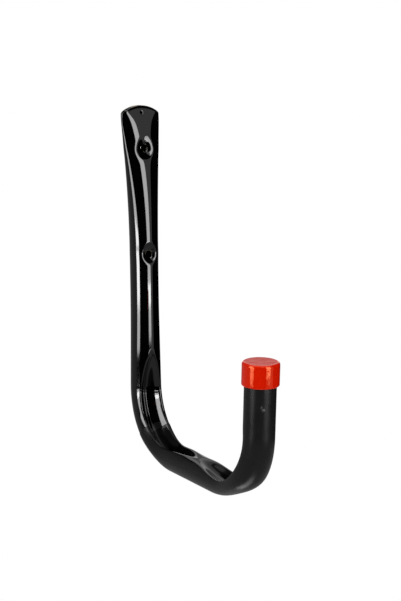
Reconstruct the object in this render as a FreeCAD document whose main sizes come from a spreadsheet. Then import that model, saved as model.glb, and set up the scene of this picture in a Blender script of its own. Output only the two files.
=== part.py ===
"""Garage utility hook: a bent steel tube with a flattened end, a thin arm sleeve and a tip cap."""

import FreeCAD, Part
import Sketcher
import math
import os

# Driving dimensions, in millimetres, degrees and plain ratios
DIMENSIONS = {
    "tube_diameter": 25.0,
    "tube_wall": 1.2,
    "shank_length": 246.0,
    "bend_radius": 54.5,
    "first_bend_angle": 90.0,
    "arm_length": 83.0,
    "second_bend_angle": 86.75,
    "tip_length": 56.5,
    "hole_spacing": 92.0,
    "hole_diameter": 6.5,
    "end_to_hole": 36.5,
    "dimple_slope": 0.65,
    "dimple_root": 2.0,
    "dimple_stretch_up": 0.65,
    "dimple_stretch_down": 1.2,
    "upper_dimple_depth": 3.3,
    "lower_dimple_depth": 4.4,
    "dimple_bulge": 0.3,
    "flat_thickness": 4.6,
    "flat_length": 140.0,
    "flat_taper_power": 2.3,
    "flat_setback": 0.45,
    "facet_share": 1.2,
    "end_facet": 15.5,
    "end_edge_girth": 4.134954,
    "end_facet_length": 8.5,
    "land_depth": 0.8,
    "land_drop": 3.0,
    "land_length": 9.0,
    "land_blend": 1.2,
    "shoulder_turn": 35.0,
    "end_arc_radius": 27.0,
    "punch_mark_drop": 6.0,
    "punch_mark_diameter": 3.0,
    "punch_mark_depth": 0.4,
    "first_groove_depth": 14.5,
    "first_groove_power": 4.0,
    "first_groove_slope": 1.3,
    "first_groove_blend": 3.4,
    "second_groove_depth": 15.0,
    "second_groove_power": 3.0,
    "second_groove_slope": 0.6,
    "second_groove_blend": 4.0,
    "groove_root": 2.0,
    "groove_reach_shank": 71.5,
    "groove_reach_arm": 83.0,
    "groove_reach_tip": 60.0,
    "saddle_drop": 3.7,
    "saddle_rise": 6.0,
    "saddle_blend": 4.0,
    "first_flat_spot_depth": 2.6,
    "first_flat_spot_place": 58.0,
    "second_flat_spot_depth": 3.6,
    "second_flat_spot_place": 20.0,
    "flat_spot_reach": 30.0,
    "bend_widening": 1.8,
    "widening_lead": 90.0,
    "sleeve_start_angle": 45.0,
    "sleeve_thickness": 0.3,
    "sleeve_gap": 0.05,
    "cap_wall": 2.05,
    "cap_length": 18.8,
    "cap_top": 2.5,
    "cap_gap": 0.1,
    "cap_edge_radius": 2.3,
    "cap_lip_radius": 0.8,
}

# How finely the tube's sections are drawn, and where they crowd together
POINTS_ROUND = 48
FRONT_CROWDING = 0.35
NORMAL_STEP = 0.002
PLAIN_SPACING = 15.0
FLAT_SPACING = 4.5
BEND_SPACING = 5.0
ARCH_SPACING = 4.0
DIMPLE_SPACING = 3.0

# Uncut tube beyond the flattened end, which the end's arc trims off
TRIM_STOCK = 1.0
# Lengths closer than this are the same
SAME = 0.001

END_HEIGHT = "(dimensions.hole_spacing / 2 + dimensions.end_to_hole)"
CAP_BORE = (
    "(dimensions.tube_diameter / 2 + dimensions.sleeve_gap"
    " + dimensions.sleeve_thickness + dimensions.cap_gap)"
)
CAP_LIP = "min(dimensions.cap_lip_radius; dimensions.cap_wall * 0.45)"

doc = FreeCAD.newDocument("utility_hook")
sheet = doc.addObject("Spreadsheet::Sheet", "dimensions")
for row, (name, value) in enumerate(DIMENSIONS.items(), start=1):
    sheet.set(f"A{row}", name)
    sheet.set(f"B{row}", str(value))
    sheet.setAlias(f"B{row}", name)
doc.recompute()


def size(name):
    """A driving dimension from the sheet."""
    return float(sheet.get(name))


# Places along the tube, as the run from the tip of the flattened end
RADIUS = size("tube_diameter") / 2
FIRST_TURN = math.radians(size("first_bend_angle"))
SECOND_TURN = math.radians(size("second_bend_angle"))
LEGS = (
    (size("shank_length"), 0.0),
    (size("bend_radius") * FIRST_TURN, FIRST_TURN),
    (size("arm_length"), 0.0),
    (size("bend_radius") * SECOND_TURN, SECOND_TURN),
    (size("tip_length"), 0.0),
)
FIRST_BEND_RUN = LEGS[0][0]
ARM_RUN = FIRST_BEND_RUN + LEGS[1][0]
SECOND_BEND_RUN = ARM_RUN + LEGS[2][0]
TIP_RUN = SECOND_BEND_RUN + LEGS[3][0]
TUBE_RUN = TIP_RUN + LEGS[4][0]
FIRST_BEND_MIDDLE = (FIRST_BEND_RUN + ARM_RUN) / 2
ARM_MIDDLE = (ARM_RUN + SECOND_BEND_RUN) / 2
SECOND_BEND_MIDDLE = (SECOND_BEND_RUN + TIP_RUN) / 2
UPPER_HOLE_RUN = size("end_to_hole")
LOWER_HOLE_RUN = UPPER_HOLE_RUN + size("hole_spacing")
END_Z = size("hole_spacing") / 2 + size("end_to_hole")


def axis_at(run):
    """Place on the tube's axis after a run from the flattened end, and the turn made so far."""
    y, z, turn = 0.0, END_Z, 0.0
    for number, (length, bend) in enumerate(LEGS):
        step = run if number == len(LEGS) - 1 else min(run, length)
        if bend:
            bend_radius = length / bend
            after = turn + step / bend_radius
            y += bend_radius * (math.cos(after) - math.cos(turn))
            z -= bend_radius * (math.sin(after) - math.sin(turn))
            turn = after
        else:
            y -= step * math.sin(turn)
            z -= step * math.cos(turn)
        run -= step
        if run <= 0:
            break
    return y, z, turn


def to_space(across, inward, run):
    """A point of the cross-section at a run, from its own plane to space."""
    y, z, turn = axis_at(run)
    return FreeCAD.Vector(across, y - inward * math.cos(turn), z + inward * math.sin(turn))


def smooth_lower(first, second, blend):
    """The lower of two heights, rounded where they cross."""
    near = max(0.0, blend - abs(first - second))
    return min(first, second) - near * near / (4 * blend)


def vee(distance, slope, root):
    """Height of a V-shaped tool with a rounded root."""
    return math.sqrt((slope * distance) ** 2 + root * root) - root


def squash_at(run):
    """How far the flattening has shrunk the section's side radius."""
    left = max(0.0, 1 - max(run, 0.0) / size("flat_length"))
    return (RADIUS - size("flat_thickness") / 2) * left ** size("flat_taper_power")


def front_at(run):
    """Height of the front wall's middle before it is dimpled."""
    squash = squash_at(run)
    return RADIUS - squash * (1 + size("flat_setback"))


def groove_floor(run, depth, power, middle, reach_before, reach_after):
    """Height of the bottom of the groove that a bend's tool presses into the inner wall."""
    reach = reach_before if run < middle else reach_after
    share = 1 - abs(run - middle) / reach
    sunk = 1 - (1 - share) ** power if share > 0 else power * share
    return RADIUS - depth * sunk


def swell(run, start, middle, end):
    """A smooth rise from 0 at the start to 1 in the middle and back to 0 at the end."""
    rise = (run - start) / (middle - start)
    fall = (end - run) / (end - middle)
    return math.sin(math.pi / 2 * min(1.0, max(0.0, min(rise, fall)))) ** 2


def widening_at(run):
    """How far a bend spreads the tube's sides: the first one begins to well up the shank."""
    first = swell(run, FIRST_BEND_RUN - size("widening_lead"), FIRST_BEND_MIDDLE, ARM_RUN)
    second = swell(run, SECOND_BEND_RUN, SECOND_BEND_MIDDLE, TIP_RUN)
    return size("bend_widening") * (first + second)


def flattening_at(run):
    """How far a bend draws in the tube's outer wall."""
    total = 0.0
    reach = size("flat_spot_reach")
    for name, bend_run in (("first_flat_spot", FIRST_BEND_RUN), ("second_flat_spot", SECOND_BEND_RUN)):
        middle = bend_run + size(f"{name}_place")
        total += size(f"{name}_depth") * swell(run, middle - reach, middle, middle + reach)
    return total


def near_end_at(run):
    """One at the flattened end, fading down the shank."""
    return math.exp(-((max(run, 0.0) / size("end_facet_length")) ** 2))


def quarter_girth_at(run):
    """A quarter of a section's girth: the round tube's, or at the end its facet and edge."""
    round_quarter = math.pi * RADIUS / 2
    end_quarter = size("end_facet") + size("end_edge_girth")
    return round_quarter + (end_quarter - round_quarter) * near_end_at(run)


def facet_at(run):
    """Half the width of the flat facet on the squashed front, which is widest at the end."""
    facet = size("facet_share") * squash_at(max(run, 0.0)) ** 2 / RADIUS
    return facet + (size("end_facet") - facet) * near_end_at(run)


def flattened_round(share, run):
    """A point of a squashed section, whose girth is laid out in facets, shoulders and sides."""
    half_height = RADIUS - squash_at(run)
    facet = facet_at(run)
    quarter = quarter_girth_at(run)
    turn = math.radians(size("shoulder_turn"))
    rest = math.pi / 2 - turn
    cosine = math.cos(turn)
    shoulder = (quarter - facet) * cosine - half_height * rest
    shoulder /= turn * cosine - rest * (1 - cosine)
    side = (half_height - shoulder * (1 - cosine)) / cosine
    length = 4 * quarter * share
    on_front = length > quarter
    if on_front:
        length = 2 * quarter - length
    first = min(turn, max(0.0, (length - facet) / shoulder))
    second = turn + max(0.0, length - facet - shoulder * turn) / side
    across = min(length, facet) + shoulder * math.sin(first) + side * (math.sin(second) - math.sin(turn))
    height = half_height - shoulder * (1 - math.cos(first)) - side * (cosine - math.cos(second))
    return across, (height if on_front else -height)


def pressed(across, inward, run):
    """Lowers a point's height to the tools that pressed the grooves, the saddle and the dimples."""
    arm_reach = size("groove_reach_arm")
    for name, reach in (
        ("first_groove", (FIRST_BEND_MIDDLE, size("groove_reach_shank"), arm_reach)),
        ("second_groove", (SECOND_BEND_MIDDLE, arm_reach, size("groove_reach_tip"))),
    ):
        floor = groove_floor(run, size(f"{name}_depth"), size(f"{name}_power"), *reach)
        walls = vee(across, size(f"{name}_slope"), size("groove_root"))
        inward = smooth_lower(inward, floor + walls, size(f"{name}_blend"))
    off_middle = (run - ARM_MIDDLE) / (size("arm_length") / 2)
    saddle = RADIUS - size("saddle_drop") + size("saddle_rise") * off_middle ** 2
    inward = smooth_lower(inward, saddle, size("saddle_blend"))
    near_land = math.exp(-(((run - UPPER_HOLE_RUN - size("land_drop")) / size("land_length")) ** 2))
    blend = size("land_blend")
    land = front_at(run) + blend - (blend + size("land_depth")) * near_land
    inward = smooth_lower(inward, land, blend)
    for hole_run, depth in (
        (UPPER_HOLE_RUN, size("upper_dimple_depth")),
        (LOWER_HOLE_RUN, size("lower_dimple_depth")),
    ):
        along = run - hole_run
        along *= size("dimple_stretch_up") if along < 0 else size("dimple_stretch_down")
        cone = vee(math.hypot(across, along), size("dimple_slope"), size("dimple_root"))
        inward = smooth_lower(inward, front_at(hole_run) - depth + cone, size("dimple_root"))
    return inward


def outline_point(share, run):
    """A point of the tube's outside, a share of the way round from the middle of its back."""
    share = share % 1.0
    squash = squash_at(run)
    across, inward = flattened_round(min(share, 1 - share), run)
    frontness = (inward + RADIUS) / (2 * RADIUS)
    bulge = 0.0
    for hole_run in (UPPER_HOLE_RUN, LOWER_HOLE_RUN):
        bulge += size("dimple_bulge") * math.exp(-(((run - hole_run) / size("hole_diameter")) ** 2))
    widening = widening_at(run) + bulge * frontness
    if inward < 0:
        inward *= 1 - flattening_at(run) / RADIUS
    across *= 1 + widening / RADIUS
    inward = pressed(across, inward - size("flat_setback") * squash, run)
    return (across if share <= 0.5 else -across), inward


def skin_point(share, run, offset):
    """A point at a distance outside the tube's surface, square to its outline."""
    across, inward = outline_point(share, run)
    before = outline_point(share - NORMAL_STEP, run)
    after = outline_point(share + NORMAL_STEP, run)
    along_across = after[0] - before[0]
    along_inward = after[1] - before[1]
    length = math.hypot(along_across, along_inward)
    across += offset * along_inward / length
    inward -= offset * along_across / length
    return to_space(across, inward, run)


def stations(start, end):
    """Runs at which the section is drawn: close together where its form changes."""
    hole_reach = 2 * size("hole_diameter")
    groove_start = FIRST_BEND_MIDDLE - size("groove_reach_shank") - 2 * ARCH_SPACING
    groove_end = SECOND_BEND_MIDDLE + size("groove_reach_tip") + 2 * ARCH_SPACING
    zones = (
        (UPPER_HOLE_RUN - hole_reach, FLAT_SPACING),
        (UPPER_HOLE_RUN + hole_reach, DIMPLE_SPACING),
        (LOWER_HOLE_RUN - hole_reach, FLAT_SPACING),
        (LOWER_HOLE_RUN + hole_reach, DIMPLE_SPACING),
        (groove_start, PLAIN_SPACING),
        (FIRST_BEND_RUN, ARCH_SPACING),
        (TIP_RUN, BEND_SPACING),
        (groove_end, ARCH_SPACING),
        (TUBE_RUN, PLAIN_SPACING),
    )
    runs = [start]
    for zone_end, spacing in zones:
        zone_end = min(zone_end, end)
        if zone_end > runs[-1]:
            count = max(1, math.ceil((zone_end - runs[-1]) / spacing))
            begin = runs[-1]
            runs += [begin + (zone_end - begin) * step / count for step in range(1, count + 1)]
    return runs


def skin(offset, start, end):
    """Smooth surface through the sections between two runs, at a distance outside the tube."""
    runs = stations(start, end)
    turns = [step / POINTS_ROUND for step in range(POINTS_ROUND + 1)]
    rings = []
    for run in runs:
        points = []
        for turn in turns[:-1]:
            share = turn + FRONT_CROWDING * math.sin(2 * math.pi * turn) / (2 * math.pi)
            points.append(skin_point(share, run, offset))
        ring = Part.BSplineCurve()
        ring.interpolate(Points=points, PeriodicFlag=True, Parameters=turns)
        rings.append(ring)
    columns = []
    for column_points in zip(*(ring.getPoles() for ring in rings)):
        column = Part.BSplineCurve()
        column.interpolate(Points=list(column_points), Parameters=runs)
        columns.append(column)
    surface = Part.BSplineSurface()
    surface.buildFromPolesMultsKnots(
        [list(poles) for poles in zip(*(column.getPoles() for column in columns))],
        columns[0].getMultiplicities(),
        rings[0].getMultiplicities(),
        columns[0].getKnots(),
        rings[0].getKnots(),
        False,
        True,
        columns[0].Degree,
        rings[0].Degree,
    )
    return surface


def pipe(inner_offset, outer_offset, start, end):
    """Closed solid between two skins, with flat ends square to the tube."""
    outer = skin(outer_offset, start, end)
    inner = skin(inner_offset, start, end)
    faces = [outer.toShape(), inner.toShape()]
    for parameter in outer.bounds()[:2]:
        rim = Part.Wire(outer.uIso(parameter).toShape())
        bore = Part.Wire(inner.uIso(parameter).toShape())
        faces.append(Part.makeFace([rim, bore], "Part::FaceMakerBullseye"))
    shell = Part.Shell(faces)
    shell.sewShape()
    solid = Part.Solid(shell)
    if solid.Volume < 0:
        solid.reverse()
    return solid


def bind(item, **expressions):
    """Ties properties of an object to cells of the sheet. A double underscore in a name stands for a dot."""
    for name, expression in expressions.items():
        item.setExpression(name.replace("__", "."), expression)


def add_formed_tube():
    """The bent and pressed tube, before its end is trimmed and its holes are drilled."""
    formed = doc.addObject("Part::Feature", "formed_tube")
    formed.Shape = pipe(-size("tube_wall"), 0.0, -TRIM_STOCK, TUBE_RUN)
    formed.Placement = FreeCAD.Placement()
    return formed


def add_screw_hole(name, height):
    """A drill through both walls of the shank, from the wall side to the front."""
    drill = doc.addObject("Part::Cylinder", name)
    drill.Placement = FreeCAD.Placement(FreeCAD.Vector(), FreeCAD.Rotation(FreeCAD.Vector(1, 0, 0), 90))
    bind(
        drill,
        Radius="dimensions.hole_diameter / 2",
        Height="dimensions.tube_diameter * 2",
        Placement__Base__y="dimensions.tube_diameter",
        Placement__Base__z=height,
    )
    return drill


def add_end_trim():
    """What is cut away above the arc of the flattened end."""
    stock = doc.addObject("Part::Box", "end_stock")
    bind(
        stock,
        Length="dimensions.end_arc_radius * 2",
        Width="dimensions.tube_diameter * 2",
        Height="dimensions.end_arc_radius * 2",
        Placement__Base__x="-dimensions.end_arc_radius",
        Placement__Base__y="-dimensions.tube_diameter",
        Placement__Base__z=f"{END_HEIGHT} - dimensions.end_arc_radius",
    )
    arc = doc.addObject("Part::Cylinder", "end_arc")
    arc.Placement = FreeCAD.Placement(FreeCAD.Vector(), FreeCAD.Rotation(FreeCAD.Vector(1, 0, 0), 90))
    bind(
        arc,
        Radius="dimensions.end_arc_radius",
        Height="dimensions.tube_diameter * 4",
        Placement__Base__y="dimensions.tube_diameter * 2",
        Placement__Base__z=f"{END_HEIGHT} - dimensions.end_arc_radius",
    )
    trim = doc.addObject("Part::Cut", "end_trim")
    trim.Base = stock
    trim.Tool = arc
    return trim


def add_punch_mark():
    """A small round mark in the front of the flattened end."""
    depth = size("punch_mark_depth")
    drop = size("punch_mark_drop")
    mark_radius = (size("punch_mark_diameter") ** 2 / 4 + depth**2) / (2 * depth)
    front = outline_point(0.5, drop)[1]
    mark = doc.addObject("Part::Sphere", "punch_mark")
    bind(mark, Radius="(dimensions.punch_mark_diameter ^ 2 / 4 + dimensions.punch_mark_depth ^ 2)"
         " / (2 * dimensions.punch_mark_depth)")
    mark.Placement.Base = FreeCAD.Vector(0, depth - mark_radius - front, END_Z - drop)
    return mark


def add_hook_tube():
    """The finished tube."""
    tools = doc.addObject("Part::MultiFuse", "tube_tools")
    tools.Shapes = [
        add_screw_hole("upper_screw_hole", "dimensions.hole_spacing / 2"),
        add_screw_hole("lower_screw_hole", "-dimensions.hole_spacing / 2"),
        add_end_trim(),
        add_punch_mark(),
    ]
    tube = doc.addObject("Part::Cut", "hook_tube")
    tube.Base = add_formed_tube()
    tube.Tool = tools
    tube.Label = "hook_tube"
    return tube


def add_arm_sleeve():
    """The thin coat that follows the tube from the middle of the first bend to the tip."""
    start = FIRST_BEND_RUN + size("bend_radius") * math.radians(size("sleeve_start_angle"))
    inside = size("sleeve_gap")
    sleeve = doc.addObject("Part::Feature", "arm_sleeve")
    sleeve.Shape = pipe(inside, inside + size("sleeve_thickness"), start, TUBE_RUN)
    sleeve.Placement = FreeCAD.Placement()
    sleeve.Label = "arm_sleeve"
    return sleeve


def cap_bore():
    """Radius inside the cap, which slips over the sleeve."""
    return RADIUS + size("sleeve_gap") + size("sleeve_thickness") + size("cap_gap")


def draw_cap_profile(sketch):
    """Half section of the cap, from the tube's end at the origin, with the tip's axis upright."""
    bore = cap_bore()
    outside = bore + size("cap_wall")
    seat = size("cap_gap")
    top = seat + size("cap_top")
    mouth = top - size("cap_length")
    corners = [(0, seat), (bore, seat), (bore, mouth), (outside, mouth), (outside, top), (0, top)]
    for start, end in zip(corners, corners[1:] + corners[:1]):
        line = Part.LineSegment(FreeCAD.Vector(*start, 0), FreeCAD.Vector(*end, 0))
        sketch.addGeometry(line, False)
    for number in range(len(corners)):
        sketch.addConstraint(Sketcher.Constraint("Coincident", number, 2, (number + 1) % len(corners), 1))
    for number in (0, 2, 4):
        sketch.addConstraint(Sketcher.Constraint("Horizontal", number))
    for number in (1, 3):
        sketch.addConstraint(Sketcher.Constraint("Vertical", number))
    sketch.addConstraint(Sketcher.Constraint("PointOnObject", 0, 1, -2))
    sketch.addConstraint(Sketcher.Constraint("PointOnObject", 4, 2, -2))
    lengths = (
        ("seat", ("DistanceY", -1, 1, 0, 1), "dimensions.cap_gap"),
        ("top", ("DistanceY", 0, 1, 4, 2), "dimensions.cap_top"),
        ("length", ("DistanceY", 3, 1, 3, 2), "dimensions.cap_length"),
        ("bore", ("DistanceX", 0, 1, 0, 2), CAP_BORE),
        ("wall", ("DistanceX", 2, 1, 2, 2), "dimensions.cap_wall"),
    )
    for name, (kind, *ends), expression in lengths:
        index = sketch.addConstraint(Sketcher.Constraint(kind, *ends, 1.0))
        sketch.renameConstraint(index, name)
        sketch.setExpression(f"Constraints.{name}", expression)


def round_edges(body, base, name, radius, rings):
    """Rounds the circular edges of a turned piece that have the given radii and heights."""
    doc.recompute()
    names = []
    for number, edge in enumerate(base.Shape.Edges, start=1):
        box = edge.BoundBox
        for wide, high in rings:
            if max(abs(box.XMax - wide), abs(box.ZMax - high), box.ZLength) < SAME:
                names.append(f"Edge{number}")
    rounding = body.newObject("PartDesign::Fillet", name)
    rounding.Base = (base, names)
    rounding.setExpression("Radius", radius)
    return rounding


def add_end_cap():
    """The slip-on cap, turned about the tip's axis."""
    body = doc.addObject("PartDesign::Body", "end_cap")
    body.Label = "end_cap"
    plane = next(item for item in body.Origin.OriginFeatures if item.Role == "XZ_Plane")
    sketch = body.newObject("Sketcher::SketchObject", "cap_profile")
    sketch.AttachmentSupport = (plane, [""])
    sketch.MapMode = "FlatFace"
    draw_cap_profile(sketch)
    turned = body.newObject("PartDesign::Revolution", "cap_turned")
    turned.Profile = sketch
    turned.ReferenceAxis = (sketch, ["V_Axis"])
    turned.Angle = 360
    bore = cap_bore()
    outside = bore + size("cap_wall")
    top = size("cap_gap") + size("cap_top")
    mouth = top - size("cap_length")
    topped = round_edges(body, turned, "cap_edge", "dimensions.cap_edge_radius", [(outside, top)])
    round_edges(body, topped, "cap_lip", CAP_LIP, [(outside, mouth), (bore, mouth)])
    y, z, turn = axis_at(TUBE_RUN)
    upward = FreeCAD.Vector(0, -math.sin(turn), -math.cos(turn))
    body.Placement = FreeCAD.Placement(
        FreeCAD.Vector(0, y, z), FreeCAD.Rotation(FreeCAD.Vector(0, 0, 1), upward)
    )
    return body


def check_and_write(pieces):
    """Stops if anything failed, then writes each piece to its own file."""
    doc.recompute()
    failed = [item.Name for item in doc.Objects if {"Invalid", "Error"} & set(item.State)]
    failed += [piece.Label for piece in pieces if piece.Shape.isNull() or not piece.Shape.isValid()]
    if failed:
        raise RuntimeError(f"these failed: {failed}")
    os.makedirs("parts", exist_ok=True)
    for piece in pieces:
        piece.Shape.exportStep(f"parts/{piece.Label}.step")
        print(piece.Label, len(piece.Shape.Solids), "solid,", round(piece.Shape.Volume), "mm3")


check_and_write([add_hook_tube(), add_arm_sleeve(), add_end_cap()])
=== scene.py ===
"""Garage utility hook, dressed for the camera: gloss black tube, satin sleeve and glossy red cap."""

import math

import bpy
import numpy as np
from mathutils import Matrix, Vector


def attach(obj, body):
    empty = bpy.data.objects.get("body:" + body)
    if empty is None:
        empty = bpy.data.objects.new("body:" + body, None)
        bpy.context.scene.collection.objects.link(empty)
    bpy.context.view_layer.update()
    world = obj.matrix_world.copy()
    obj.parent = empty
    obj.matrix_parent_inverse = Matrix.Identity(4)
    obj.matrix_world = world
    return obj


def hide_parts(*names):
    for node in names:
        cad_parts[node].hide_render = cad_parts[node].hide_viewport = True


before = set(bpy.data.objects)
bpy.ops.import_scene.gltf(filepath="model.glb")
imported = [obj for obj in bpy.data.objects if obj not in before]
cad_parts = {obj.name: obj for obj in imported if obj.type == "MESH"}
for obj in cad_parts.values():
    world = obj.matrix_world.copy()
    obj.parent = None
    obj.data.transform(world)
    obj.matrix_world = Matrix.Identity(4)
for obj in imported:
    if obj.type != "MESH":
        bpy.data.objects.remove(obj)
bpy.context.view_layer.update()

# Sizes of the hook, in millimetres, degrees and plain ratios, as its solids have them
TUBE_RADIUS = 12.5
TUBE_WALL = 1.2
SHANK_LENGTH = 246.0
BEND_RADIUS = 54.5
FIRST_TURN = math.radians(90.0)
ARM_LENGTH = 83.0
SECOND_TURN = math.radians(86.75)
TIP_LENGTH = 56.5
HOLE_SPACING = 92.0
HOLE_RADIUS = 3.25
END_TO_HOLE = 36.5
DIMPLE_SLOPE = 0.65
DIMPLE_ROOT = 2.0
DIMPLE_STRETCHES_UP = (0.65, 1.0)
DIMPLE_STRETCH_DOWN = 1.2
DIMPLE_DEPTHS = (3.3, 4.4)
DIMPLE_BULGE = 0.3
FLAT_THICKNESS = 4.6
FLAT_LENGTH = 140.0
FLAT_TAPER_POWER = 2.3
FLAT_SETBACK = 0.45
FACET_SHARE = 1.2
END_FACET = 15.5
END_FACET_LENGTH = 8.5
LAND_DEPTH = 0.8
LAND_DROP = 3.0
LAND_LENGTH = 9.0
LAND_BLEND = 1.2
SHOULDER_TURN = math.radians(35.0)
END_ARC_RADIUS = 27.0
PUNCH_MARK_DROP = 6.0
PUNCH_MARK_RADIUS = 1.5
PUNCH_MARK_DEPTH = 0.4
GROOVE_DEPTHS = (14.5, 15.0)
GROOVE_SLOPES = (1.3, 0.6)
GROOVE_BLENDS = (3.4, 4.0)
GROOVE_ROOT = 2.0
GROOVE_POWERS = (4, 3)
GROOVE_REACH_SHANK = 71.5
GROOVE_REACH_ARM = 83.0
GROOVE_REACH_TIP = 60.0
SADDLE_BLEND = 4.0
SADDLE_DROP = 3.7
SADDLE_RISE = 6.0
BEND_FLATTENINGS = (2.6, 3.6)
FLAT_SPOT_PLACES = (58.0, 20.0)
FLAT_SPOT_REACH = 30.0
BEND_WIDENING = 1.8
WIDENING_LEAD = 90.0
SLEEVE_START_ANGLE = math.radians(45.0)
SLEEVE_THICKNESS = 0.3
SLEEVE_GAP = 0.05
CAP_WALL = 2.05
CAP_LENGTH = 18.8
CAP_TOP = 2.5
CAP_GAP = 0.1
CAP_EDGE_RADIUS = 2.3
CAP_LIP_RADIUS = 0.8

# Fine edges that the solids leave sharp, in millimetres: rims, the roll of the sheared end, the cap's bore
RIM_RADIUS = 0.35
ROLL_LENGTH = 2.6
ROLL_DEPTH = 0.5
CAP_BORE_CORNER = 0.3
MM = 0.001

# The two walls that a screw hole goes through, as shares of the way round from the middle of the back
BACK = 0.0
FRONT = 0.5

# How far round from the middle of the throat side the coat is polished by use and darkened with painted
# shade, as shares of its girth
POLISH_AND_SHADE_REACH = 0.17
POLISH_AND_SHADE_FADE = 0.04

# How finely the meshes are drawn, round and along the tube
COLUMNS = 176
FRONT_CROWDING = 0.35
NORMAL_STEP = 0.002
RIM_STEPS = 4
BORE_STEP_SHANK = 8
BORE_STEP_SLEEVE = 2

# How the flattened end is trimmed to its arc, and how far from the front wall its marks reach
END_FADE = 25.0
TRIM_STEPS = 4
FRONT_DEPTH = 1.0

# The room round a screw hole, the rings that fill it, and the search for a point's place round the tube
HOLE_MARGIN = 1.6
HOLE_RINGS = 5
SEARCH_REACH = 0.22
SEARCH_STEPS = 40

# Where the cap's rows of points begin and end, in millimetres from its corners and its axis
CAP_ROW_MARGIN = 0.5
CAP_TOP_MARGIN = 0.4
CAP_TOP_HUB = 0.6
CAP_INSIDE_HUB = 1.0

# Places along the tube, as the run from the tip of the flattened end
FIRST_BEND_RUN = SHANK_LENGTH
ARM_RUN = FIRST_BEND_RUN + BEND_RADIUS * FIRST_TURN
SECOND_BEND_RUN = ARM_RUN + ARM_LENGTH
TIP_RUN = SECOND_BEND_RUN + BEND_RADIUS * SECOND_TURN
TUBE_RUN = TIP_RUN + TIP_LENGTH
FIRST_BEND_MIDDLE = (FIRST_BEND_RUN + ARM_RUN) / 2
ARM_MIDDLE = (ARM_RUN + SECOND_BEND_RUN) / 2
SECOND_BEND_MIDDLE = (SECOND_BEND_RUN + TIP_RUN) / 2
HOLE_RUNS = (END_TO_HOLE, END_TO_HOLE + HOLE_SPACING)
SLEEVE_RUN = FIRST_BEND_RUN + BEND_RADIUS * SLEEVE_START_ANGLE
END_HEIGHT = HOLE_SPACING / 2 + END_TO_HOLE


# The tube's surface

def axis_at(run):
    """Place on the tube's axis after a run from the flattened end, and the turn made so far."""
    first = np.clip((run - FIRST_BEND_RUN) / BEND_RADIUS, 0, FIRST_TURN)
    second = FIRST_TURN + np.clip((run - SECOND_BEND_RUN) / BEND_RADIUS, 0, SECOND_TURN)
    shank = np.minimum(run, FIRST_BEND_RUN)
    arm = np.clip(run - ARM_RUN, 0, ARM_LENGTH)
    tip = np.maximum(run - TIP_RUN, 0)
    lean = FIRST_TURN + SECOND_TURN
    y = BEND_RADIUS * (np.cos(first) - 1 + np.cos(second) - np.cos(FIRST_TURN))
    z = END_HEIGHT - shank - BEND_RADIUS * (np.sin(first) + np.sin(second) - np.sin(FIRST_TURN))
    y = y - arm * np.sin(FIRST_TURN) - tip * np.sin(lean)
    z = z - arm * np.cos(FIRST_TURN) - tip * np.cos(lean)
    return y, z, first + second - FIRST_TURN


def smooth_lower(first, second, blend):
    """The lower of two heights, rounded where they cross."""
    near = np.maximum(0.0, blend - np.abs(first - second))
    return np.minimum(first, second) - near * near / (4 * blend)


def vee(distance, slope, root):
    """Height of a V-shaped tool with a rounded root."""
    return np.sqrt((slope * distance) ** 2 + root * root) - root


def squash_at(run):
    """How far the flattening has shrunk the section's side radius."""
    left = np.clip(1 - np.maximum(run, 0.0) / FLAT_LENGTH, 0.0, 1.0)
    return (TUBE_RADIUS - FLAT_THICKNESS / 2) * left**FLAT_TAPER_POWER


def front_at(run):
    """Height of the front wall's middle before it is dimpled."""
    return TUBE_RADIUS - squash_at(run) * (1 + FLAT_SETBACK)


def groove_floor(run, depth, power, middle, reach_before, reach_after):
    """Height of the bottom of the groove that a bend's tool presses into the inner wall."""
    share = 1 - np.abs(run - middle) / np.where(run < middle, reach_before, reach_after)
    inside = 1 - np.abs(1 - share) ** power
    return TUBE_RADIUS - depth * np.where(share > 0, inside, power * share)


def swell(run, start, middle, end):
    """A smooth rise from 0 at the start to 1 in the middle and back to 0 at the end."""
    rise = np.clip((run - start) / (middle - start), 0, 1)
    fall = np.clip((end - run) / (end - middle), 0, 1)
    return np.sin(math.pi / 2 * np.minimum(rise, fall)) ** 2


def widening_at(run):
    """How far a bend spreads the tube's sides: the first one begins to well up the shank."""
    first = swell(run, FIRST_BEND_RUN - WIDENING_LEAD, FIRST_BEND_MIDDLE, ARM_RUN)
    second = swell(run, SECOND_BEND_RUN, SECOND_BEND_MIDDLE, TIP_RUN)
    return BEND_WIDENING * (first + second)


def flattening_at(run):
    """How far a bend draws in the tube's outer wall."""
    total = np.zeros_like(run)
    bend_runs = (FIRST_BEND_RUN, SECOND_BEND_RUN)
    for bend_run, place, depth in zip(bend_runs, FLAT_SPOT_PLACES, BEND_FLATTENINGS):
        middle = bend_run + place
        total = total + depth * swell(run, middle - FLAT_SPOT_REACH, middle, middle + FLAT_SPOT_REACH)
    return total


def facet_at(run):
    """Half the width of the flat facet on the squashed front, which is widest at the end."""
    run = np.maximum(run, 0.0)
    facet = FACET_SHARE * squash_at(run) ** 2 / TUBE_RADIUS
    return facet + (END_FACET - facet) * np.exp(-((run / END_FACET_LENGTH) ** 2))


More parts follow.
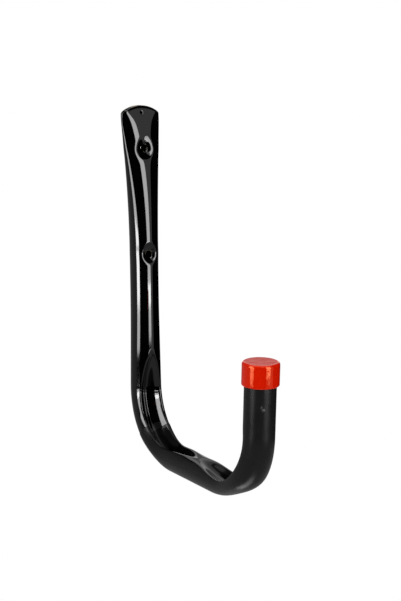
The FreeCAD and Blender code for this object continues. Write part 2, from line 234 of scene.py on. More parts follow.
def flattened_round(share, run):
    """A point of a squashed section of the same girth, with its facets, shoulders and sides."""
    half_height = TUBE_RADIUS - squash_at(run)
    facet = facet_at(run)
    quarter = math.pi * TUBE_RADIUS / 2
    rest = math.pi / 2 - SHOULDER_TURN
    cosine, sine = math.cos(SHOULDER_TURN), math.sin(SHOULDER_TURN)
    shoulder = (quarter - facet) * cosine - half_height * rest
    shoulder = shoulder / (SHOULDER_TURN * cosine - rest * (1 - cosine))
    side = (half_height - shoulder * (1 - cosine)) / cosine
    length = 4 * quarter * share
    on_front = length > quarter
    length = np.where(on_front, 2 * quarter - length, length)
    first = np.clip((length - facet) / shoulder, 0, SHOULDER_TURN)
    second = SHOULDER_TURN + np.maximum(length - facet - shoulder * SHOULDER_TURN, 0) / side
    across = np.minimum(length, facet) + shoulder * np.sin(first) + side * (np.sin(second) - sine)
    height = half_height - shoulder * (1 - np.cos(first)) - side * (cosine - np.cos(second))
    return across, np.where(on_front, height, -height)


def pressed(across, inward, run):
    """Lowers a point's height to the tools that pressed and sheared the tube."""
    reaches = (
        (FIRST_BEND_MIDDLE, GROOVE_REACH_SHANK, GROOVE_REACH_ARM),
        (SECOND_BEND_MIDDLE, GROOVE_REACH_ARM, GROOVE_REACH_TIP),
    )
    forms = zip(GROOVE_DEPTHS, GROOVE_POWERS, GROOVE_SLOPES, GROOVE_BLENDS, reaches)
    for depth, power, slope, blend, reach in forms:
        tool = groove_floor(run, depth, power, *reach) + vee(across, slope, GROOVE_ROOT)
        inward = smooth_lower(inward, tool, blend)
    off_middle = (run - ARM_MIDDLE) / (ARM_LENGTH / 2)
    saddle = TUBE_RADIUS - SADDLE_DROP + SADDLE_RISE * off_middle**2
    inward = smooth_lower(inward, saddle, SADDLE_BLEND)
    near_land = np.exp(-(((run - END_TO_HOLE - LAND_DROP) / LAND_LENGTH) ** 2))
    land = front_at(run) + LAND_BLEND - (LAND_BLEND + LAND_DEPTH) * near_land
    inward = smooth_lower(inward, land, LAND_BLEND)
    for hole_run, depth, stretch_up in zip(HOLE_RUNS, DIMPLE_DEPTHS, DIMPLE_STRETCHES_UP):
        along = run - hole_run
        along = along * np.where(along < 0, stretch_up, DIMPLE_STRETCH_DOWN)
        cone = vee(np.hypot(across, along), DIMPLE_SLOPE, DIMPLE_ROOT)
        inward = smooth_lower(inward, front_at(hole_run) - depth + cone, DIMPLE_ROOT)
    in_mark = 1 - (across**2 + (run - PUNCH_MARK_DROP) ** 2) / PUNCH_MARK_RADIUS**2
    on_front = inward > front_at(run) - FRONT_DEPTH
    cut_run = END_ARC_RADIUS - np.sqrt(END_ARC_RADIUS**2 - np.minimum(across**2, END_ARC_RADIUS**2))
    near_cut = np.clip(1 - (run - cut_run) / ROLL_LENGTH, 0, 1)
    dent = PUNCH_MARK_DEPTH * np.clip(in_mark, 0, 1) + ROLL_DEPTH * near_cut**2
    return inward - np.where(on_front, dent, 0)


def outline_point(share, run):
    """A point of the tube's outside, a share of the way round from the middle of its back."""
    share = share % 1.0
    squash = squash_at(run)
    across, inward = flattened_round(np.minimum(share, 1 - share), run)
    bulge = sum(DIMPLE_BULGE * np.exp(-(((run - hole) / (2 * HOLE_RADIUS)) ** 2)) for hole in HOLE_RUNS)
    widening = widening_at(run) + bulge * (inward + TUBE_RADIUS) / (2 * TUBE_RADIUS)
    inward = np.where(inward < 0, inward * (1 - flattening_at(run) / TUBE_RADIUS), inward)
    across = across * (1 + widening / TUBE_RADIUS)
    inward = pressed(across, inward - FLAT_SETBACK * squash, run)
    return np.where(share <= 0.5, across, -across), inward


def skin_outline(share, run, offset):
    """A point of a section at a distance outside the tube's surface, square to its outline."""
    across, inward = outline_point(share, run)
    before = outline_point(share - NORMAL_STEP, run)
    after = outline_point(share + NORMAL_STEP, run)
    along_across = after[0] - before[0]
    along_inward = after[1] - before[1]
    length = np.hypot(along_across, along_inward)
    return across + offset * along_inward / length, inward - offset * along_across / length


def skin_points(share, run, offset):
    """Points of the tube's skin in space, in metres."""
    across, inward = skin_outline(share, run, offset)
    y, z, turn = axis_at(run)
    return np.stack([across, y - inward * np.cos(turn), z + inward * np.sin(turn)], axis=-1) * MM


def share_at(across, run, offset, side):
    """Where round the skin a point across the tube lies, on the front or back wall."""
    low = np.full(np.shape(across), side - SEARCH_REACH)
    high = np.full(np.shape(across), side + SEARCH_REACH)
    rising = side == BACK
    for _ in range(SEARCH_STEPS):
        half = (low + high) / 2
        beyond = skin_outline(half, run, offset)[0] > across
        go_down = beyond if rising else ~beyond
        high = np.where(go_down, half, high)
        low = np.where(go_down, low, half)
    return (low + high) / 2


# Meshes

def spread(*zones):
    """Runs from zones of (start, end, spacing), each up to but without its end."""
    runs = []
    for start, end, spacing in zones:
        count = max(1, math.ceil((end - start) / spacing))
        runs += [start + (end - start) * step / count for step in range(count)]
    return runs


class Builder:
    """Collects the points and faces of one piece."""

    def __init__(self):
        self.points = []
        self.faces = []
        self.wear_and_shade = []

    def add(self, points, wear_and_shade=0.0):
        """Adds points in rows, with their wear and painted shade, and returns their numbers in the same
        rows.
        """
        points = np.asarray(points).reshape(-1, 3)
        first = len(self.points)
        self.points.extend(map(tuple, points))
        self.wear_and_shade.extend(map(float, np.broadcast_to(wear_and_shade, len(points))))
        return np.arange(first, first + len(points))

    def band(self, first, second, closed=True):
        """Joins two rows of points with quads."""
        count = len(first) if closed else len(first) - 1
        for place in range(count):
            after = (place + 1) % len(first)
            self.faces.append((first[place], first[after], second[after], second[place]))

    def fan(self, ring, centre, flip=False):
        """Closes a ring with triangles round its centre."""
        for place in range(len(ring)):
            corners = (ring[place], ring[(place + 1) % len(ring)], centre)
            self.faces.append(corners[::-1] if flip else corners)

    def make(self, name, material):
        """Makes the object with smooth shading and outward faces."""
        mesh = bpy.data.meshes.new(name)
        mesh.from_pydata(self.points, [], [tuple(map(int, face)) for face in self.faces])
        mesh.update()
        mesh.validate()
        mesh.polygons.foreach_set("use_smooth", [True] * len(mesh.polygons))
        mesh.attributes.new("wear_and_shade", "FLOAT", "POINT").data.foreach_set("value", self.wear_and_shade)
        mesh.materials.append(material)
        piece = bpy.data.objects.new(name, mesh)
        bpy.context.scene.collection.objects.link(piece)
        return piece


def column_shares():
    """Where the columns of a skin lie round the tube: closer together on the inner side of the bends."""
    turns = np.arange(COLUMNS) / COLUMNS
    return turns + FRONT_CROWDING * np.sin(2 * math.pi * turns) / (2 * math.pi)


def trimmed_run(share, run, offset):
    """Moves a run down to the arc that the flattened end is cut to."""
    moved = np.broadcast_to(run, share.shape).astype(float)
    fade = np.clip(1 - run / END_FADE, 0, 1) ** 2
    for _ in range(TRIM_STEPS):
        across = skin_outline(share, moved, offset)[0]
        moved = run + fade * (END_ARC_RADIUS - np.sqrt(END_ARC_RADIUS**2 - across**2))
    return moved


def wall_loop(runs, inner_runs, inside, outside):
    """The loop of (run, offset) round a tube's wall: out along its skin and back along its bore."""
    start, end = runs[0], runs[-1]
    quarter = np.linspace(0, math.pi / 2, RIM_STEPS + 1)
    rim = min(RIM_RADIUS, (outside - inside) / 2)
    loop = [(run, outside) for run in runs]
    loop += [(end + rim * math.sin(a), outside - rim * (1 - math.cos(a))) for a in quarter[1:]]
    loop += [(end + rim * math.cos(a), inside + rim * (1 - math.sin(a))) for a in quarter]
    loop += [(run, inside) for run in inner_runs[::-1][1:-1]]
    loop += [(start - rim * math.sin(a), inside + rim * (1 - math.cos(a))) for a in quarter]
    loop += [(start - rim * math.cos(a), outside - rim * (1 - math.sin(a))) for a in quarter[:-1]]
    return loop


def hole_window(shares, runs, hole_run, side):
    """The first and last row and column of the skin that make room for a screw hole."""
    reach = HOLE_RADIUS + HOLE_MARGIN
    row_first = max(number for number, run in enumerate(runs) if run <= hole_run - reach)
    row_last = min(number for number, run in enumerate(runs) if run >= hole_run + reach)
    across = skin_outline(shares, np.full(len(shares), hole_run), 0.0)[0]
    on_side = np.abs((shares - side + 0.5) % 1.0 - 0.5) < 0.25
    columns = np.flatnonzero((np.abs(across) < reach) & on_side)
    if side == BACK:
        columns = (columns + COLUMNS // 2) % COLUMNS - COLUMNS // 2
    return row_first, row_last, int(columns.min()) - 1, int(columns.max()) + 1


def window_quads(window, numbers):
    """The quads inside a window, as the lower number of their two rows and their first column."""
    row_first, row_last, low, high = window
    rows = [min(pair) for pair in zip(numbers[row_first:row_last], numbers[row_first + 1 :])]
    return {(row, column % COLUMNS) for row in rows for column in range(low, high)}


def window_ring(rows, window):
    """The points round a window, from its first corner, in order."""
    row_first, row_last, low, high = window
    columns = [column % COLUMNS for column in range(low, high + 1)]
    ring = [rows[row_first][column] for column in columns]
    ring += [rows[row][columns[-1]] for row in range(row_first + 1, row_last + 1)]
    ring += [rows[row_last][column] for column in columns[-2::-1]]
    ring += [rows[row][columns[0]] for row in range(row_last - 1, row_first, -1)]
    return ring


def hole_rings(builder, edge, hole_run, side, offset, radii):
    """Rings of points from a window's edge to the screw hole, on the skin."""
    corners = np.array([builder.points[number] for number in edge]) / MM
    across = corners[:, 0]
    run = END_HEIGHT - corners[:, 2]
    angle = np.arctan2(run - hole_run, across)
    rings = [np.array(edge)]
    for radius, share in radii:
        ring_across = share * radius * np.cos(angle) + (1 - share) * across
        ring_run = share * (hole_run + radius * np.sin(angle)) + (1 - share) * run
        place = share_at(ring_across, ring_run, offset, side)
        rings.append(builder.add(skin_points(place, ring_run, offset)))
    return rings


def add_screw_hole(builder, outer_edge, inner_edge, hole_run, side):
    """Joins the two skins of a wall through a screw hole with a rounded mouth."""
    mouth = HOLE_RADIUS + RIM_RADIUS
    outer_steps = [(mouth, step / HOLE_RINGS) for step in range(1, HOLE_RINGS + 1)]
    inner_steps = [(HOLE_RADIUS, 1 / 2), (HOLE_RADIUS, 1)]
    outer = hole_rings(builder, outer_edge, hole_run, side, 0.0, outer_steps)
    inner = hole_rings(builder, inner_edge, hole_run, side, -TUBE_WALL, inner_steps)
    lip = np.array([builder.points[number] for number in outer[-1]])
    centre = np.array([0.0, 0.0, (END_HEIGHT - hole_run) * MM])
    outward = (lip - centre) * np.array([1, 0, 1])
    outward /= np.linalg.norm(outward, axis=1)[:, None]
    into = np.array([0.0, 1.0 if side == FRONT else -1.0, 0.0])
    rings = list(outer)
    for angle in np.linspace(0, math.pi / 2, RIM_STEPS + 1)[1:]:
        drop = RIM_RADIUS * MM * (1 - math.cos(angle))
        draw_in = RIM_RADIUS * MM * math.sin(angle)
        rings.append(builder.add(lip - outward * draw_in + into * drop, 1.0))
    rings += inner[::-1]
    for first, second in zip(rings, rings[1:]):
        builder.band(first, second)


def tube_runs():
    """Runs of the tube's rows: fine where the surface shows and changes, coarse under the sleeve."""
    first, second = HOLE_RUNS
    reach = 5 * HOLE_RADIUS
    return spread(
        (RIM_RADIUS, first - reach, 0.5),
        (first - reach, first + reach, 0.6),
        (first + reach, second - reach, 1.2),
        (second - reach, second + reach, 0.6),
        (second + reach, FIRST_BEND_MIDDLE - GROOVE_REACH_SHANK, 3.0),
        (FIRST_BEND_MIDDLE - GROOVE_REACH_SHANK, SLEEVE_RUN + 1.0, 0.7),
        (SLEEVE_RUN + 1.0, TIP_RUN, 4.0),
        (TIP_RUN, TUBE_RUN - RIM_RADIUS, 8.0),
    ) + [TUBE_RUN - RIM_RADIUS]


def kept_bore_runs(runs):
    """Runs of the bore's rows: few on the shank, more under the sleeve, and all by the holes."""
    kept = []
    for number, run in enumerate(runs):
        near_hole = min(abs(run - hole) for hole in HOLE_RUNS) < 3 * HOLE_RADIUS
        step = BORE_STEP_SLEEVE if run > SLEEVE_RUN else BORE_STEP_SHANK
        if number % step == 0 or near_hole or run == runs[-1]:
            kept.append(run)
    return kept


def nearest(runs, wanted):
    """The number of the run that lies nearest to a wanted one."""
    return min(range(len(runs)), key=lambda number: abs(runs[number] - wanted))


def make_tube(material):
    """The bent tube with its flattened end, dimpled holes and grooved bends."""
    shares = column_shares()
    runs = tube_runs()
    loop = wall_loop(runs, kept_bore_runs(runs), -TUBE_WALL, 0.0)
    builder = Builder()
    rows = []
    for run, offset in loop:
        moved = trimmed_run(shares, np.full(COLUMNS, run), offset)
        at_rim = run < RIM_RADIUS and offset > -TUBE_WALL
        points = skin_points(shares, moved, np.full(COLUMNS, offset))
        rows.append(builder.add(points, 1.0 if at_rim else 0.0))
    outer_numbers = list(range(len(runs)))
    inner_numbers = [number for number, (_, offset) in enumerate(loop) if offset == -TUBE_WALL][::-1]
    inner_runs = [loop[number][0] for number in inner_numbers]
    inner_rows = [rows[number] for number in inner_numbers]
    holes = []
    left_out = set()
    for hole_run in HOLE_RUNS:
        for side in (BACK, FRONT):
            outer = hole_window(shares, runs, hole_run, side)
            inner = (*(nearest(inner_runs, runs[row]) for row in outer[:2]), *outer[2:])
            holes.append((hole_run, side, outer, inner))
            left_out |= window_quads(outer, outer_numbers) | window_quads(inner, inner_numbers)
    for number, row in enumerate(rows):
        following = rows[(number + 1) % len(rows)]
        for column in range(COLUMNS):
            if (number, column) not in left_out:
                after = (column + 1) % COLUMNS
                builder.faces.append((row[column], row[after], following[after], following[column]))
    for hole_run, side, outer, inner in holes:
        outer_edge = window_ring(rows, outer)
        inner_edge = window_ring(inner_rows, inner)
        add_screw_hole(builder, outer_edge, inner_edge, hole_run, side)
    return builder.make("formed_tube", material)


def make_sleeve(material):
    """The thin coat from the middle of the first bend to the tip, with a rounded edge and painted shade
    marked on its throat side.
    """
    shares = column_shares()
    rim = SLEEVE_THICKNESS / 2
    runs = spread((SLEEVE_RUN + rim, TIP_RUN, 0.8), (TIP_RUN, TUBE_RUN - rim, 1.5)) + [TUBE_RUN - rim]
    bore_runs = runs[::4] + runs[-1:]
    loop = wall_loop(runs, bore_runs, SLEEVE_GAP, SLEEVE_GAP + SLEEVE_THICKNESS)
    # Painted shade and polish: the throat side is marked, to be darkened and made glossier by the coat's
    # material
    polish_and_shade = np.clip((POLISH_AND_SHADE_REACH - np.abs(shares - FRONT)) / POLISH_AND_SHADE_FADE, 0, 1)
    builder = Builder()
    rows = []
    for run, offset in loop:
        points = skin_points(shares, np.full(COLUMNS, run), np.full(COLUMNS, offset))
        rows.append(builder.add(points, polish_and_shade))
    for number, row in enumerate(rows):
        builder.band(row, rows[(number + 1) % len(rows)])
    return builder.make("sleeve_coat", material)


def corner_arc(centre, radius, start, end, steps=7):
    """Points of a rounded corner in a half section, with angles in degrees."""
    angles = np.radians(np.linspace(start, end, steps))
    return [(centre[0] + radius * math.cos(a), centre[1] + radius * math.sin(a)) for a in angles]


def make_cap(material):
    """The slip-on cap, turned about the tip's axis."""
    bore = TUBE_RADIUS + SLEEVE_GAP + SLEEVE_THICKNESS + CAP_GAP
    outside = bore + CAP_WALL
    top = CAP_GAP + CAP_TOP
    mouth = top - CAP_LENGTH
    edge, lip, corner = CAP_EDGE_RADIUS, CAP_LIP_RADIUS, CAP_BORE_CORNER
    bore_heights = np.linspace(CAP_GAP - 2 * CAP_ROW_MARGIN, mouth + lip + CAP_ROW_MARGIN, 10)
    side_heights = np.linspace(mouth + lip + CAP_ROW_MARGIN, top - edge - CAP_ROW_MARGIN, 14)
    profile = [(radius, CAP_GAP) for radius in np.linspace(CAP_INSIDE_HUB, bore - corner, 6)]
    profile += corner_arc((bore - corner, CAP_GAP - corner), corner, 90, 0, 4)
    profile += [(bore, height) for height in bore_heights]
    profile += corner_arc((bore + lip, mouth + lip), lip, 180, 270)
    profile += corner_arc((outside - lip, mouth + lip), lip, 270, 360)
    profile += [(outside, height) for height in side_heights]
    profile += corner_arc((outside - edge, top - edge), edge, 0, 90, 10)
    profile += [(radius, top) for radius in np.linspace(outside - edge - CAP_TOP_MARGIN, CAP_TOP_HUB, 16)]
    angles = 2 * math.pi * np.arange(COLUMNS) / COLUMNS
    y, z, turn = axis_at(np.array(TUBE_RUN))
    upward = np.array([0.0, -math.sin(turn), -math.cos(turn)])
    sideways = np.array([1.0, 0.0, 0.0])
    inward = np.cross(upward, sideways)
    base = np.array([0.0, float(y), float(z)])
    builder = Builder()
    rows = []
    for radius, height in profile:
        ring = base + upward * height + radius * (
            np.outer(np.cos(angles), sideways) + np.outer(np.sin(angles), inward)
        )
        rows.append(builder.add(ring * MM))
    for first, second in zip(rows, rows[1:]):
        builder.band(second, first)
    below = builder.add([(base + upward * CAP_GAP) * MM])[0]
    above = builder.add([(base + upward * top) * MM])[0]
    builder.fan(rows[0], below)
    builder.fan(rows[-1], above, flip=True)
    return builder.make("tip_cap", material)


# Materials: linear colours, noise scales in cycles per metre, heights in metres, places in millimetres

PAINT_COLOURS = ((0.0003, 0.0003, 0.0003), (0.0008, 0.0008, 0.0008))
PAINT_ROUGHNESS = (0.04, 0.07)
PAINT_IOR = 1.58
PAINT_SPECULAR = 0.5
PAINT_PATCH_SCALE = 35.0
PEEL_SCALE = 420.0
PEEL_HEIGHT = 0.0000012
MARK_REACH = 1.3 * PUNCH_MARK_RADIUS
BARE_COLOUR = (0.42, 0.36, 0.25)
BARE_ROUGHNESS = 0.35
CHIP_SCALE = 260.0
CHIP_RANGE = (0.5, 0.56)

COAT_COLOURS = ((0.0052, 0.0052, 0.0052), (0.0085, 0.0085, 0.0086))
COAT_ROUGHNESS = (0.22, 0.28)
COAT_SPECULAR = 0.22
COAT_PATCH_SCALE = 60.0
GRAIN_SCALE = 1800.0
GRAIN_HEIGHT = 0.00003
# Painted shade: the near-black colour that the throat side of the coat is darkened to
PAINTED_SHADE_COLOUR = (0.0008, 0.0008, 0.0008)
POLISHED_ROUGHNESS = 0.1
POLISHED_GRAIN = 0.15
SCUFF_COLOUR = (0.09, 0.09, 0.09)
SCUFF_PLACE = (-3.8, -205.2, -142.6)
SCUFF_RADIUS = 3.0
SCUFF_SCALE = 500.0
SCUFF_RANGE = (0.48, 0.6)

VINYL_COLOURS = ((0.52, 0.008, 0.0004), (0.58, 0.01, 0.0005))
VINYL_ROUGHNESS = (0.05, 0.1)
VINYL_IOR = 1.6
VINYL_SPECULAR = 0.9
VINYL_TINT = (1.0, 0.32, 0.13)
VINYL_PATCH_SCALE = 90.0
DENT_SCALE = 220.0
DENT_HEIGHT = 0.00003


def new_material(name):
    """A material with a Principled shader, and its tools."""
    material = bpy.data.materials.new(name)
    material.use_nodes = True
    nodes = material.node_tree.nodes
    return material, nodes, material.node_tree.links, nodes["Principled BSDF"]


def noise(nodes, links, scale, detail=3.0):
    """Noise in the object's own space, in cycles per metre."""
    place = nodes.new("ShaderNodeTexCoord")
    texture = nodes.new("ShaderNodeTexNoise")
    texture.inputs["Scale"].default_value = scale
    texture.inputs["Detail"].default_value = detail
    links.new(place.outputs["Object"], texture.inputs["Vector"])
    return texture.outputs["Fac"]


def remap(nodes, links, value, low, high, from_low=0.35, from_high=0.65):
    """A value carried from one range to another."""
    ranger = nodes.new("ShaderNodeMapRange")
    ranger.inputs["From Min"].default_value = from_low
    ranger.inputs["From Max"].default_value = from_high
    ranger.inputs["To Min"].default_value = low
    ranger.inputs["To Max"].default_value = high
    links.new(value, ranger.inputs["Value"])
    return ranger.outputs["Result"]


def bump(nodes, links, shader, height, distance):
    """Raises the surface by a height in metres."""
    bumper = nodes.new("ShaderNodeBump")
    bumper.inputs["Strength"].default_value = 1.0
    bumper.inputs["Distance"].default_value = distance
    links.new(height, bumper.inputs["Height"])
    links.new(bumper.outputs["Normal"], shader.inputs["Normal"])


def colour_mix(nodes, links, factor, first, second):
    """Two colours mixed by a factor. The first may come from another node."""
    mixer = nodes.new("ShaderNodeMix")
    mixer.data_type = "RGBA"
    links.new(factor, mixer.inputs[0])
    start, end, result = mixer.inputs[6], mixer.inputs[7], mixer.outputs[2]
    if isinstance(first, tuple):
        start.default_value = (*first, 1.0)
    else:
        links.new(first, start)
    end.default_value = (*second, 1.0)
    return result


def value_mix(nodes, links, factor, first, second):
    """A value from another node mixed with a plain one."""
    mixer = nodes.new("ShaderNodeMix")
    links.new(factor, mixer.inputs[0])
    links.new(first, mixer.inputs[2])
    mixer.inputs[3].default_value = second
    return mixer.outputs[0]


def product(nodes, links, first, second):
    """Two values multiplied."""
    times = nodes.new("ShaderNodeMath")
    times.operation = "MULTIPLY"
    links.new(first, times.inputs[0])
    links.new(second, times.inputs[1])
    return times.outputs[0]


def near_place(nodes, links, place, radius):
    """One near a place on the hook, in millimetres, fading to nothing at a radius from it."""
    here = nodes.new("ShaderNodeTexCoord")
    distance = nodes.new("ShaderNodeVectorMath")
    distance.operation = "DISTANCE"
    distance.inputs[1].default_value = [coordinate * MM for coordinate in place]
    links.new(here.outputs["Object"], distance.inputs[0])
    return remap(nodes, links, distance.outputs["Value"], 1.0, 0.0, radius * MM / 2, radius * MM)


def wear_and_shade_amount(nodes):
    """How worn a mesh says that it is; on the coat, how much painted shade and polish its throat side has.
    """
    attribute = nodes.new("ShaderNodeAttribute")
    attribute.attribute_name = "wear_and_shade"
    return attribute.outputs["Fac"]


def gloss_paint():
    """Gloss black paint with a faint orange peel, chipped to dull metal along its cut edges."""
    material, nodes, links, shader = new_material("gloss_black_paint")
    patches = noise(nodes, links, PAINT_PATCH_SCALE)
    chips = remap(nodes, links, noise(nodes, links, CHIP_SCALE), 0.0, 1.0, *CHIP_RANGE)
    bare = product(nodes, links, wear_and_shade_amount(nodes), chips)
    paint = colour_mix(nodes, links, patches, *PAINT_COLOURS)
    links.new(colour_mix(nodes, links, bare, paint, BARE_COLOUR), shader.inputs["Base Color"])
    links.new(bare, shader.inputs["Metallic"])
    gloss = remap(nodes, links, patches, *PAINT_ROUGHNESS)
    links.new(value_mix(nodes, links, bare, gloss, BARE_ROUGHNESS), shader.inputs["Roughness"])
    mark = (0.0, -float(front_at(PUNCH_MARK_DROP)), END_HEIGHT - PUNCH_MARK_DROP)
    in_mark = near_place(nodes, links, mark, MARK_REACH)
    sheen = remap(nodes, links, in_mark, PAINT_SPECULAR, 0.0, 0.0, 1.0)
    links.new(sheen, shader.inputs["Specular IOR Level"])
    shader.inputs["IOR"].default_value = PAINT_IOR
    bump(nodes, links, shader, noise(nodes, links, PEEL_SCALE, 1.0), PEEL_HEIGHT)
    return material


def satin_coat():
    """Satin black coat with a fine grain, polished and darkened with painted shade where things hang in
    the hook, and a small scuff.
    """
    material, nodes, links, shader = new_material("satin_black_coat")
    patches = noise(nodes, links, COAT_PATCH_SCALE)
    polish_and_shade = wear_and_shade_amount(nodes)
    satin = remap(nodes, links, patches, *COAT_ROUGHNESS)
    links.new(value_mix(nodes, links, polish_and_shade, satin, POLISHED_ROUGHNESS), shader.inputs["Roughness"])
    shader.inputs["Specular IOR Level"].default_value = COAT_SPECULAR
    coat = colour_mix(nodes, links, patches, *COAT_COLOURS)
    # Painted shade: the throat side is darkened to a near-black colour
    coat = colour_mix(nodes, links, polish_and_shade, coat, PAINTED_SHADE_COLOUR)
    scratches = remap(nodes, links, noise(nodes, links, SCUFF_SCALE), 0.0, 1.0, *SCUFF_RANGE)
    scuff = product(nodes, links, near_place(nodes, links, SCUFF_PLACE, SCUFF_RADIUS), scratches)
    links.new(colour_mix(nodes, links, scuff, coat, SCUFF_COLOUR), shader.inputs["Base Color"])
    roughened = remap(nodes, links, polish_and_shade, 1.0, POLISHED_GRAIN, 0.0, 1.0)
    grain = product(nodes, links, noise(nodes, links, GRAIN_SCALE, 2.0), roughened)
    bump(nodes, links, shader, grain, GRAIN_HEIGHT)
    return material


def red_vinyl():
    """Glossy red vinyl with a faint mottle, whose highlights are warmed by the light inside it."""
    material, nodes, links, shader = new_material("glossy_red_vinyl")
    patches = noise(nodes, links, VINYL_PATCH_SCALE)
    links.new(remap(nodes, links, patches, *VINYL_ROUGHNESS), shader.inputs["Roughness"])
    shader.inputs["IOR"].default_value = VINYL_IOR
    shader.inputs["Specular IOR Level"].default_value = VINYL_SPECULAR
    shader.inputs["Specular Tint"].default_value = (*VINYL_TINT, 1.0)
    links.new(colour_mix(nodes, links, patches, *VINYL_COLOURS), shader.inputs["Base Color"])
    bump(nodes, links, shader, noise(nodes, links, DENT_SCALE, 2.0), DENT_HEIGHT)
    return material


# Stage, light and camera

FLOOR_HEIGHT = -0.95
FLOOR_REACH = 8.0
FLOOR_COLOUR = (0.85, 0.85, 0.85)
FLOOR_WHITENESS = (0.6, 1.0)
FLOOR_WHITE_DISTANCE = (1.0, 1.3)
WHITE_RAYS = ("Is Camera Ray", "Is Glossy Ray", "Is Transmission Ray")
FILL_LEVEL = 0.1


def white_rays(nodes, links):
    """One for rays that meet the white background: from the camera, a reflection or a clear piece."""
    path = nodes.new("ShaderNodeLightPath")
    total = path.outputs[WHITE_RAYS[0]]
    for name in WHITE_RAYS[1:]:
        larger = nodes.new("ShaderNodeMath")
        larger.operation = "MAXIMUM"
        links.new(total, larger.inputs[0])
        links.new(path.outputs[name], larger.inputs[1])
        total = larger.outputs[0]
    return total


def make_world():
    """A white background with a soft fill light."""
    world = bpy.data.worlds.new("studio")
    world.use_nodes = True
    bpy.context.scene.world = world
    nodes, links = world.node_tree.nodes, world.node_tree.links
    background = nodes["Background"]
    background.inputs["Color"].default_value = (1.0, 1.0, 1.0, 1.0)
    strength = remap(nodes, links, white_rays(nodes, links), FILL_LEVEL, 1.0, 0.0, 1.0)
    links.new(strength, background.inputs["Strength"])


def stage_card(name, points, level):
    """A flat or curved studio card that only reflections see."""
    mesh = bpy.data.meshes.new(name)
    count = len(points) // 2
    quads = [(n, n + 1, count + n + 1, count + n) for n in range(count - 1)]
    mesh.from_pydata([tuple(point) for point in points], [], quads)
    material = bpy.data.materials.new(name)
    material.use_nodes = True
    nodes, links = material.node_tree.nodes, material.node_tree.links
    nodes.remove(nodes["Principled BSDF"])
    glow = nodes.new("ShaderNodeEmission")
    glow.inputs["Color"].default_value = (1.0, 1.0, 1.0, 1.0)
    glow.inputs["Strength"].default_value = level
    links.new(glow.outputs["Emission"], nodes["Material Output"].inputs["Surface"])
    mesh.materials.append(material)
    card = bpy.data.objects.new(name, mesh)
    bpy.context.scene.collection.objects.link(card)
    card.visible_camera = False
    card.visible_diffuse = False
    card.visible_shadow = False


def bearing(azimuth, radius, height):
    """A place round the hook: azimuth 0 is in front of it and grows to the right."""
    a = math.radians(azimuth)
    return (radius * math.sin(a), -radius * math.cos(a), height)


# Cards as name, first and last azimuth, foot, top and level; tables as name, x range, y range and level;
# strips and their bright cores as name, azimuth, foot and top
CARD_RADIUS = 2.0
CARD_TOP = 2.6
CARD_STEPS = 12
CARDS = (
    ("left_strip_foot", -92.0, -65.0, FLOOR_HEIGHT, -0.5, 0.0),
    ("camera_side_flag", -65.0, 1.0, FLOOR_HEIGHT, CARD_TOP, 0.0),
    ("right_strip_foot", 1.0, 20.0, FLOOR_HEIGHT, -0.5, 0.0),
    ("right_grey_card", 20.0, 42.0, FLOOR_HEIGHT, 1.0, 0.6),
    ("right_upper_flag", 20.0, 42.0, 1.0, CARD_TOP, 0.0),
    ("right_flag", 42.0, 126.0, FLOOR_HEIGHT, CARD_TOP, 0.0),
    ("right_low_flag", 126.0, 141.0, FLOOR_HEIGHT, -0.1, 0.0),
    ("rear_grey_card", 141.0, 161.0, 0.22, 0.6, 0.35),
    ("rear_flag", 164.0, 188.0, 0.9, CARD_TOP, 0.0),
    ("left_grey_card", 161.0, 268.0, FLOOR_HEIGHT, -0.1, 0.24),
    ("left_upper_card", 180.0, 268.0, -0.1, CARD_TOP, 0.16),
)
TABLE_CLEARANCE = 0.02
TABLES = (
    ("left_table", -2.0, -0.14, -2.0, 2.0, 0.3),
    ("right_table", 0.1, 2.0, -2.0, 2.0, 0.3),
    ("front_table", -0.14, 0.1, -2.0, -0.35, 0.3),
    ("rear_table", -0.14, 0.1, 0.2, 2.0, 0.3),
    ("bright_panel", -0.14, 0.1, -0.35, 0.2, 2.8),
)
STRIP_RADIUS = 1.25
STRIP_WIDTH = 0.5
STRIP_LEVEL = 6.3
CORE_LEVEL = 10.0
CORE_OFFSET = 0.01
STRIPS = (
    ("left_lower_strip", -77.0, -0.465, -0.43),
    ("left_strip", -77.0, -0.36, 0.1),
    ("left_upper_strip", -88.0, 0.1, 1.3),
    ("right_lower_strip", 13.0, -0.47, -0.43),
    ("right_strip", 13.0, -0.37, 0.9),
)
CORES = (
    ("left_core", -77.0, -0.294, -0.17),
    ("right_core", 13.0, -0.306, -0.269),
)
OVERHEAD_SIZE = 1.0
OVERHEAD_HEIGHT = 1.5
OVERHEAD_LEVEL = 4.0


def make_cards():
    """Cards round the hook, which give its gloss dark and grey bands to reflect."""
    for name, start, end, foot, top, level in CARDS:
        azimuths = np.linspace(start, end, CARD_STEPS)
        points = [bearing(azimuth, CARD_RADIUS, height) for height in (foot, top) for azimuth in azimuths]
        stage_card(name, points, level)
    height = FLOOR_HEIGHT + TABLE_CLEARANCE
    for name, left, right, near, far, level in TABLES:
        corners = [(x, y, height) for y in (near, far) for x in (left, right)]
        stage_card(name, corners, level)


def area_lamp(name, width, height, level, place):
    """A light that the camera doesn't see, facing down, with the brightness of its face as its level."""
    lamp = bpy.data.lights.new(name, "AREA")
    lamp.shape = "RECTANGLE"
    lamp.size = width
    lamp.size_y = height
    lamp.energy = level * math.pi * width * height
    holder = bpy.data.objects.new(name, lamp)
    bpy.context.scene.collection.objects.link(holder)
    holder.location = place
    holder.visible_camera = False
    return holder


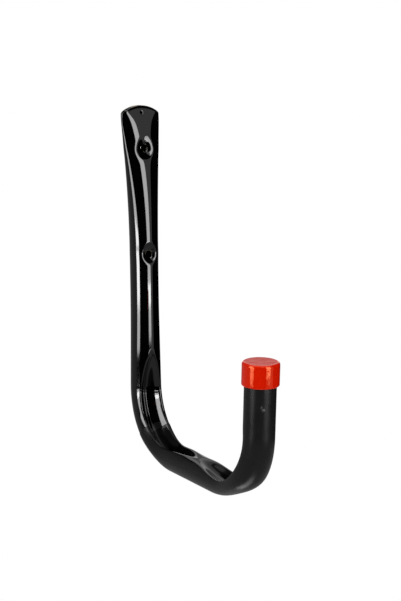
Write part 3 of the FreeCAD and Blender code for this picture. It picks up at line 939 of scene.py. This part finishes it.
def make_strips():
    """Two tall soft lights, with a brighter stretch in each."""
    strips = [(*strip, STRIP_LEVEL, STRIP_RADIUS) for strip in STRIPS]
    cores = [(*core, CORE_LEVEL, STRIP_RADIUS - CORE_OFFSET) for core in CORES]
    for name, azimuth, low, high, level, radius in strips + cores:
        place = Vector(bearing(azimuth, radius, (low + high) / 2))
        holder = area_lamp(name, STRIP_WIDTH, high - low, level, place)
        toward = Vector((-place.x, -place.y, 0.0))
        holder.rotation_mode = "QUATERNION"
        holder.rotation_quaternion = toward.to_track_quat("-Z", "Y")


def make_overhead():
    """A soft light from above for the matte share of each surface."""
    place = (0.0, 0.0, OVERHEAD_HEIGHT)
    holder = area_lamp("overhead", OVERHEAD_SIZE, OVERHEAD_SIZE, OVERHEAD_LEVEL, place)
    holder.visible_glossy = False


def make_floor():
    """A plain pale floor below the hook, which keeps its shadow near it and is white farther off."""
    mesh = bpy.data.meshes.new("floor")
    reach = FLOOR_REACH
    corners = [(-reach, -reach), (reach, -reach), (reach, reach), (-reach, reach)]
    mesh.from_pydata([(x, y, FLOOR_HEIGHT) for x, y in corners], [], [(0, 1, 2, 3)])
    material = bpy.data.materials.new("pale_floor")
    material.use_nodes = True
    nodes, links = material.node_tree.nodes, material.node_tree.links
    nodes.remove(nodes["Principled BSDF"])
    matte = nodes.new("ShaderNodeBsdfDiffuse")
    matte.inputs["Color"].default_value = (*FLOOR_COLOUR, 1.0)
    glow = nodes.new("ShaderNodeEmission")
    place = nodes.new("ShaderNodeTexCoord")
    length = nodes.new("ShaderNodeVectorMath")
    length.operation = "LENGTH"
    links.new(place.outputs["Object"], length.inputs[0])
    distance = length.outputs["Value"]
    whiteness = remap(nodes, links, distance, *FLOOR_WHITENESS, *FLOOR_WHITE_DISTANCE)
    blend = nodes.new("ShaderNodeMixShader")
    links.new(product(nodes, links, whiteness, white_rays(nodes, links)), blend.inputs["Fac"])
    links.new(matte.outputs["BSDF"], blend.inputs[1])
    links.new(glow.outputs["Emission"], blend.inputs[2])
    links.new(blend.outputs["Shader"], nodes["Material Output"].inputs["Surface"])
    mesh.materials.append(material)
    floor = bpy.data.objects.new("floor", mesh)
    bpy.context.scene.collection.objects.link(floor)


# The camera, as fitted to the photograph: its place, turn and lens
CAMERA_AZIMUTH = math.radians(-29.29)
CAMERA_ELEVATION = math.radians(9.74)
CAMERA_ROLL = math.radians(-0.51)
CAMERA_PLACE = Vector((-0.5949, -1.1611, 0.1350))
FOCAL_PIXELS = 1500.0
IMAGE_HEIGHT_PIXELS = 601
SENSOR_WIDTH = 36.0


def make_camera():
    """The camera at the photograph's viewing angle."""
    az, el, roll = CAMERA_AZIMUTH, CAMERA_ELEVATION, CAMERA_ROLL
    back = Vector((math.sin(az) * math.cos(el), -math.cos(az) * math.cos(el), math.sin(el)))
    right = Vector((math.cos(az), math.sin(az), 0.0))
    up = back.cross(right)
    rolled_right = right * math.cos(roll) + up * math.sin(roll)
    rolled_up = up * math.cos(roll) - right * math.sin(roll)
    lens = bpy.data.cameras.new("camera")
    lens.sensor_width = SENSOR_WIDTH
    lens.lens = FOCAL_PIXELS / IMAGE_HEIGHT_PIXELS * SENSOR_WIDTH
    camera = bpy.data.objects.new("camera", lens)
    turn = Matrix((rolled_right, rolled_up, back)).transposed().to_4x4()
    camera.matrix_world = Matrix.Translation(CAMERA_PLACE) @ turn
    bpy.context.scene.collection.objects.link(camera)
    bpy.context.scene.camera = camera


def place_piece(piece, node):
    """Puts a piece on the hook in place of its plain solid."""
    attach(piece, "root")
    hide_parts(node)


place_piece(make_tube(gloss_paint()), "hook_tube")
place_piece(make_sleeve(satin_coat()), "arm_sleeve")
place_piece(make_cap(red_vinyl()), "end_cap")
make_world()
make_floor()
make_cards()
make_strips()
make_overhead()
make_camera()
bpy.context.scene.view_settings.view_transform = "Standard"
